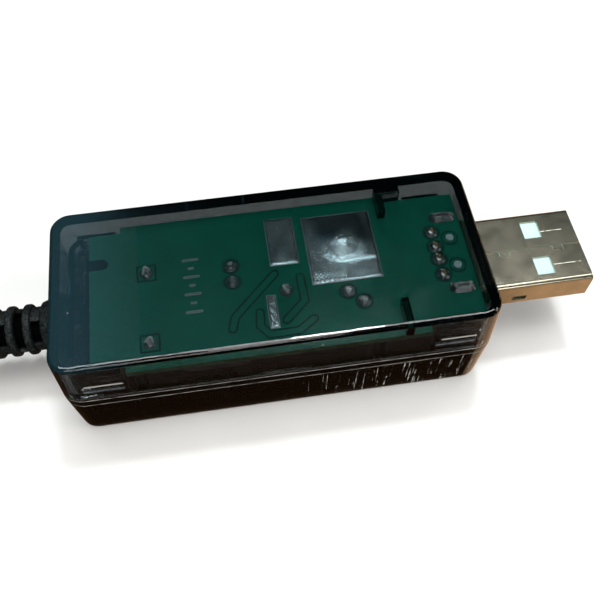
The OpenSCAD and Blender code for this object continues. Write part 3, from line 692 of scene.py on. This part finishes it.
def addWires():
    # each wire of the CAD node as a piece of its own, in its own colour
    parts = looseParts(nodes["wire_leads"].data)
    print("wires:", len(parts))
    for (points, faces), (colour, value) in zip(parts, wireColours.items()):
        high = tuple(min(1, c * 1.25 + 0.004) for c in value)
        made = addMesh("wire_" + colour, points, faces, plastic("wire_" + colour, value, high, 0.45, 0.3))
        if colour == "red":
            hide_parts("wire_leads")


addWires()


# etched gaps and printed marks on the board
boardMarks = {
    "top": 14.6,            # mm, the board's upper face
    "height": 0.03,
    "gap": 0.22,            # width of an etched gap
    "bars": [               # thick tracks, each drawn by the gap round it
        [(0.6, 0.0), (-5.3, -5.9), (-5.8, -7.65)],
        [(3.9, -1.0), (4.0, -4.7), (1.25, -7.3)],
        [(-2.05, -5.7), (-2.2, -7.7), (-1.1, -9.1), (2.7, -9.05), (4.8, -7.6)],
    ],
    "barHalf": 0.52,
    "ringGap": 0.2,
    "rings": [(-5.1, 2.05), (-5.1, -0.5), (9.9, -4.2), (11.7, -6.0), (23.0, 3.5), (23.0, 1.0),
              (23.0, -1.0), (23.0, -3.5), (25.3, 2.25), (25.3, -2.25)],
    "ringRadius": 1.12,
    "squares": [(-16.4, 2.6), (-16.4, -8.1)],
    "squareHalf": 1.2,
    "squareGap": 0.35,
    "tally": (-11.5, -9.4, -4.3, 3.9),  # x from, x to, y from, y to
    "strokes": 7,
    "stroke": 0.17,                     # width of a stroke's line
    "strokeHalf": 0.12,
    "strokeInset": 0.7,                 # how much shorter every other stroke is at each end
}


def barOutline(way, half, arc=9):
    # the line round a bar: its way moved to both sides, mitred at the turns, with half circles at the ends
    way = np.asarray(way, float)
    step = np.diff(way, axis=0)
    step /= np.linalg.norm(step, axis=1)[:, None]
    side = np.stack([-step[:, 1], step[:, 0]], 1)
    turn = side[:-1] + side[1:]
    turn = turn * (2 / (turn ** 2).sum(1))[:, None]
    out = np.concatenate([side[:1], turn, side[-1:]])
    t = np.linspace(0, np.pi, arc)[1:-1, None]
    first = way[0] - half * (np.cos(t) * side[0] + np.sin(t) * step[0])
    last = way[-1] + half * (np.cos(t) * side[-1] + np.sin(t) * step[-1])
    return np.concatenate([way + half * out, last, (way - half * out)[::-1], first])


def ribbonRound(outline, width, bottom, height):
    # a flat closed ribbon: a low rectangle carried round an outline, square to it
    ahead = np.roll(outline, -1, axis=0) - np.roll(outline, 1, axis=0)
    ahead /= np.linalg.norm(ahead, axis=1)[:, None]
    side = np.stack([-ahead[:, 1], ahead[:, 0]], 1) * width / 2
    profile = ((-1, 0), (1, 0), (1, height), (-1, height))
    rows = [np.column_stack([outline + a * side, np.full(len(outline), bottom + h)]) for a, h in profile]
    points = np.stack(rows, 1).reshape(-1, 3)
    return points, gridFaces(len(outline), len(profile), True, True)


def joinShapes(shapes):
    # several shapes as one: each one's faces count on from the points before them
    points, faces, count = [], [], 0
    for p, f in shapes:
        points.append(p)
        faces.append(f + count)
        count += len(p)
    return np.concatenate(points), np.concatenate(faces)


def circleRound(centre, radius, count=32):
    # the centre plus the radius times the cosine and sine of a full turn
    t = np.linspace(0, 2 * np.pi, count, endpoint=False)
    return np.column_stack([centre[0] + radius * np.cos(t), centre[1] + radius * np.sin(t)])


def addBoardMarks(v):
    # ribbons round the tracks, joints and square pads, and a row of plain strokes for the printed mark
    dark = plastic("etched_gap", (0.001, 0.055, 0.036), (0.002, 0.075, 0.048), 0.3, 0.2,
                   Specular_IOR_Level=0.3)
    pale = plastic("board_ink", (0.26, 0.36, 0.34), (0.36, 0.46, 0.43), 0.7, 0.6)
    gaps = [ribbonRound(barOutline(bar, v["barHalf"]), v["gap"], v["top"], v["height"]) for bar in v["bars"]]
    gaps += [ribbonRound(circleRound(c, v["ringRadius"]), v["ringGap"], v["top"], v["height"])
             for c in v["rings"]]
    corners = v["squareHalf"] * np.array([(-1, -1), (1, -1), (1, 1), (-1, 1)])
    gaps += [ribbonRound(corners + c, v["squareGap"], v["top"], v["height"]) for c in v["squares"]]
    points, faces = joinShapes(gaps)
    addMesh("etched_gaps", points * mm, faces, dark, smooth=False)
    x0, x1, y0, y1 = v["tally"]
    ink = []
    half = v["strokeHalf"]
    for k, y in enumerate(np.linspace(y0, y1, v["strokes"])):
        inset = v["strokeInset"] if k % 2 else 0.0
        way = [(x0 + inset + half, y), (x1 - inset - half, y)]
        ink.append(ribbonRound(barOutline(way, half), v["stroke"], v["top"], v["height"]))
    points, faces = joinShapes(ink)
    addMesh("board_tally_mark", points * mm, faces, pale, smooth=False)


addBoardMarks(boardMarks)

# solder flooded over the board's three bare pads
floods = {
    "base": 14.665,             # mm, the pads' upper face
    "rim": 0.25,                # width over which a flood comes down to its pad
    "heat": {
        "x": (5.5, 14.9),
        "y": (-2.5, 8.5),
        "dome": (10.6, 4.5),    # middle of the swell
        "rise": 0.75,
        "reach": 1.95,
        "fold": (6.1, 7.0),     # a point on the slanting edge of the raised sheet
        "foldWay": (0.86, 0.51),
        "stepAt": 0.7,          # y of its near edge
        "step": 0.045,
        "soft": 0.10,
        "crinkle": 0.015,
        "dimple": 0.06,
        "dimpleRow": (-1.45, 0.5),    # y of the two rows' middle, and half their width
        "dimpleEnds": (5.85, 10.05),
        "dimpleStart": (6.15, -1.75),
        "dimplePitch": 0.6,
    },
    "square": {"x": (0.3, 4.1), "y": (1.3, 8.9)},
    "strip": {"x": (-0.92, 0.22), "y": (-8.2, -3.4)},
}


def floodSurface(x, y, edge, rows, columns, height):
    # a height over a rectangle, both given on a grid from 0 to 1, brought down to nothing at its rim
    u, w = np.meshgrid(np.linspace(0, 1, rows), np.linspace(0, 1, columns), indexing="ij")
    px = x[0] + (x[1] - x[0]) * u
    py = y[0] + (y[1] - y[0]) * w
    rim = np.minimum(np.minimum(u, 1 - u) * (x[1] - x[0]), np.minimum(w, 1 - w) * (y[1] - y[0]))
    rim = np.clip(rim / edge, 0, 1)
    pz = height(px, py) * rim * (2 - rim)
    return np.stack([px, py, pz], -1).reshape(-1, 3), gridFaces(rows, columns)[:, ::-1]


def heatHeight(v):
    # a round swell on a raised sheet, whose edge runs slanting from the far left corner and then along the
    # near side, and two rows of dimples near the left corner
    def height(x, y):
        away = ((x - v["dome"][0]) ** 2 + (y - v["dome"][1]) ** 2) / (2 * v["reach"] ** 2)
        swell = v["rise"] * np.exp(-away ** 1.4)
        past = (x - v["fold"][0]) * v["foldWay"][0] + (y - v["fold"][1]) * v["foldWay"][1]
        step = v["step"] / (1 + np.exp(-past / v["soft"])) / (1 + np.exp(-(y - v["stepAt"]) / v["soft"]))
        crinkle = np.sin(x * 5.1 + 1.7 * np.sin(y * 2.3)) * np.sin(y * 4.3 + 1.3 * np.sin(x * 3.1))
        crinkle = v["crinkle"] * crinkle * (0.2 + 0.8 * np.exp(-away ** 2))
        row = np.exp(-(((y - v["dimpleRow"][0]) / v["dimpleRow"][1]) ** 4))
        row = row * (x > v["dimpleEnds"][0]) * (x < v["dimpleEnds"][1])
        turn = 2 * np.pi / v["dimplePitch"]
        dimples = np.cos(turn * (x - v["dimpleStart"][0])) * np.cos(turn * (y - v["dimpleStart"][1]))
        return 0.05 + swell + step + crinkle - v["dimple"] * row * dimples
    return height


def dishHeight(x, y):
    # slightly proud at the rim, with slow waves
    return 0.06 + 0.02 * np.sin(x * 2.1 + 0.6) * np.sin(y * 1.3) + 0.01 * np.sin(x * 7 + y * 5)


def addFloods(v):
    # each pad's flood is its own height over the pad's rectangle
    bright = metal("solder_flood", (0.60, 0.74, 0.76), 0.26, 0.15, 0.00002, 1300, 0.75)
    shapes = {
        "heat_pad_solder": (v["heat"], 72, 84, heatHeight(v["heat"])),
        "square_pad_solder": (v["square"], 30, 52, dishHeight),
        "strip_pad_solder": (v["strip"], 16, 52, dishHeight),
    }
    for name, (area, rows, columns, height) in shapes.items():
        points, faces = floodSurface(area["x"], area["y"], v["rim"], rows, columns, height)
        points[:, 2] += v["base"]
        made = addMesh(name, points * mm, faces, bright, closed=False)


addFloods(floods)

# lead ends bent over and cut short on three joints, two bars from one top each
leadTips = {
    "radius": 0.19,
    "drop": 0.45,             # how far a bar's end is below its top
    "height": 15.65,          # mm, of the top
    "joints": [(-16.4, 2.6), (-16.4, -8.1), (1.8, -2.9)],
    "turns": (20, -25, 75),   # degrees, one for each joint
    "left": (-0.62, -0.45),   # from the joint's middle, before the turn
    "right": (0.60, -0.22),
    "top": (0.05, 0.50),
}


def roundBar(start, end, radius, count=12, rows=9):
    # a straight bar whose radius is an ellipse's, so that both ends are round
    start, end = np.asarray(start, float), np.asarray(end, float)
    t = np.linspace(0, np.pi, rows)
    along = (1 - np.cos(t)) / 2
    width = radius * np.sqrt(np.clip(np.sin(t), 0, 1)) + 1e-4
    way = (end - start) / np.linalg.norm(end - start)
    side = np.cross(way, (0, 0, 1))
    side /= np.linalg.norm(side)
    up = np.cross(side, way)
    a = np.linspace(0, 2 * np.pi, count, endpoint=False)
    ring = np.cos(a)[:, None] * side + np.sin(a)[:, None] * up
    points = start + along[:, None, None] * (end - start) + width[:, None, None] * ring
    return points.reshape(-1, 3), gridFaces(rows, count, False, True)


def addLeadTips(v):
    # two bars down from the top at each joint, turned about the joint's middle
    bars = []
    for joint, turn in zip(v["joints"], np.radians(v["turns"])):
        swing = np.array([(np.cos(turn), np.sin(turn)), (-np.sin(turn), np.cos(turn))])
        top, left, right = (joint + np.array(v[way]) @ swing for way in ("top", "left", "right"))
        for end in (left, right):
            bars.append(roundBar((*top, v["height"]), (*end, v["height"] - v["drop"]), v["radius"]))
    points, faces = joinShapes(bars)
    addMesh("bent_lead_tips", points * mm, faces, cutLead)


addLeadTips(leadTips)
print("board marks and solder made")


# pale floor, soft lamps and a quiet surrounding
studio = {
    "floor": 3.0,              # m, half the floor's side
    "floorLow": (0.74, 0.735, 0.725),
    "floorHigh": (0.79, 0.785, 0.775),
    "lights": {                # place, aimed at, width, height, watts, colour
        "front": ((-0.02, -0.40, 0.25), (0, 0, 0.01), 0.50, 0.20, 1.2, (1.0, 0.98, 0.95)),
        "overhead": ((0.03, -0.03, 0.75), (0, 0, 0), 0.4, 0.4, 3.2, (1.0, 0.99, 0.97)),
        "strip": ((0.05, 0.15, 0.50), (0.05, 0, 0.01), 0.60, 0.05, 1.0, (0.95, 1.0, 1.0)),
        "spark": ((0.07, 0.16, 0.50), (0, 0, 0.01), 0.07, 0.07, 0.9, (0.95, 1.0, 1.0)),
        "side": ((0.55, -0.15, 0.35), (0.02, 0, 0.01), 0.2, 0.3, 0.8, (1.0, 0.96, 0.9)),
    },
    "room": (0.010, 0.020, 0.023),
    "glow": (0.20, 0.35, 0.46),
    "glowWay": (-0.40, 0.33, 0.855),  # direction of the glow's middle
    "glowEdge": (0.86, 0.985),        # cosine of the angle from it, from no glow to full
    "bench": (0.045, 0.022, 0.010),
    "benchRight": (0.78, 0.50, 0.30),
    "benchTurn": (0.27, 0.37),        # x of the direction over which the bench gets brighter
    "horizon": (-0.02, 0.05),         # z of the direction over which bench gives way to room
    "fill": (0.22, 0.22, 0.22),
    "backdrop": (0.85, 0.85, 0.85),
}


def addStudio(v):
    # a flat square floor, and rectangular lamps that face the points they are aimed at
    made, tree, shader = newMaterial("floor_paper", Roughness=0.9, Specular_IOR_Level=0.2)
    paper = noise(tree, objectPoint(tree), 60, 4.0)
    tree.links.new(tint(tree, spread(tree, paper, 0.3, 0.7), v["floorLow"], v["floorHigh"]),
                   shader.inputs["Base Color"])
    half = v["floor"]
    mesh = bpy.data.meshes.new("floor")
    corners = [(-half, -half, 0), (half, -half, 0), (half, half, 0), (-half, half, 0)]
    mesh.from_pydata(corners, [], [(0, 1, 2, 3)])
    mesh.materials.append(made)
    floor = addObject("floor", mesh)
    floor.visible_glossy = False  # the gloss shows the warm bench instead, as a dark card would
    for name, (place, aim, width, height, watts, colour) in v["lights"].items():
        data = bpy.data.lights.new(name, "AREA")
        data.shape = "RECTANGLE"
        data.size = width
        data.size_y = height
        data.energy = watts
        data.color = colour
        lamp = addObject(name, data)
        lamp.location = place
        lamp.rotation_euler = (Vector(aim) - Vector(place)).to_track_quat("-Z", "Y").to_euler()


def addSurroundings(v):
    # what the gloss shows: a dark room with a soft blue glow high on the left, over a warm bench. Matt faces
    # get an even grey fill, and what stands behind the floor is a plain pale backdrop
    world = bpy.data.worlds.new("room")
    bpy.context.scene.world = world
    world.use_nodes = True
    tree = world.node_tree
    background = tree.nodes["Background"]
    place = addNode(tree, "ShaderNodeTexCoord").outputs["Generated"]
    near = addNode(tree, "ShaderNodeVectorMath", {0: place, 1: v["glowWay"]}, operation="DOT_PRODUCT")
    glow = spread(tree, near.outputs["Value"], *v["glowEdge"], soft=True)
    room = tint(tree, glow, v["room"], v["glow"])
    way = addNode(tree, "ShaderNodeSeparateXYZ", {"Vector": place}).outputs
    bench = tint(tree, spread(tree, way["X"], *v["benchTurn"], soft=True), v["bench"], v["benchRight"])
    room = tint(tree, spread(tree, way["Z"], *v["horizon"], soft=True), bench, room)
    ray = addNode(tree, "ShaderNodeLightPath").outputs
    room = tint(tree, ray["Is Diffuse Ray"], room, v["fill"])
    tree.links.new(tint(tree, ray["Is Camera Ray"], room, v["backdrop"]), background.inputs["Color"])


addStudio(studio)
addSurroundings(studio)
bpy.context.scene.view_settings.view_transform = "Standard"
print("studio made")
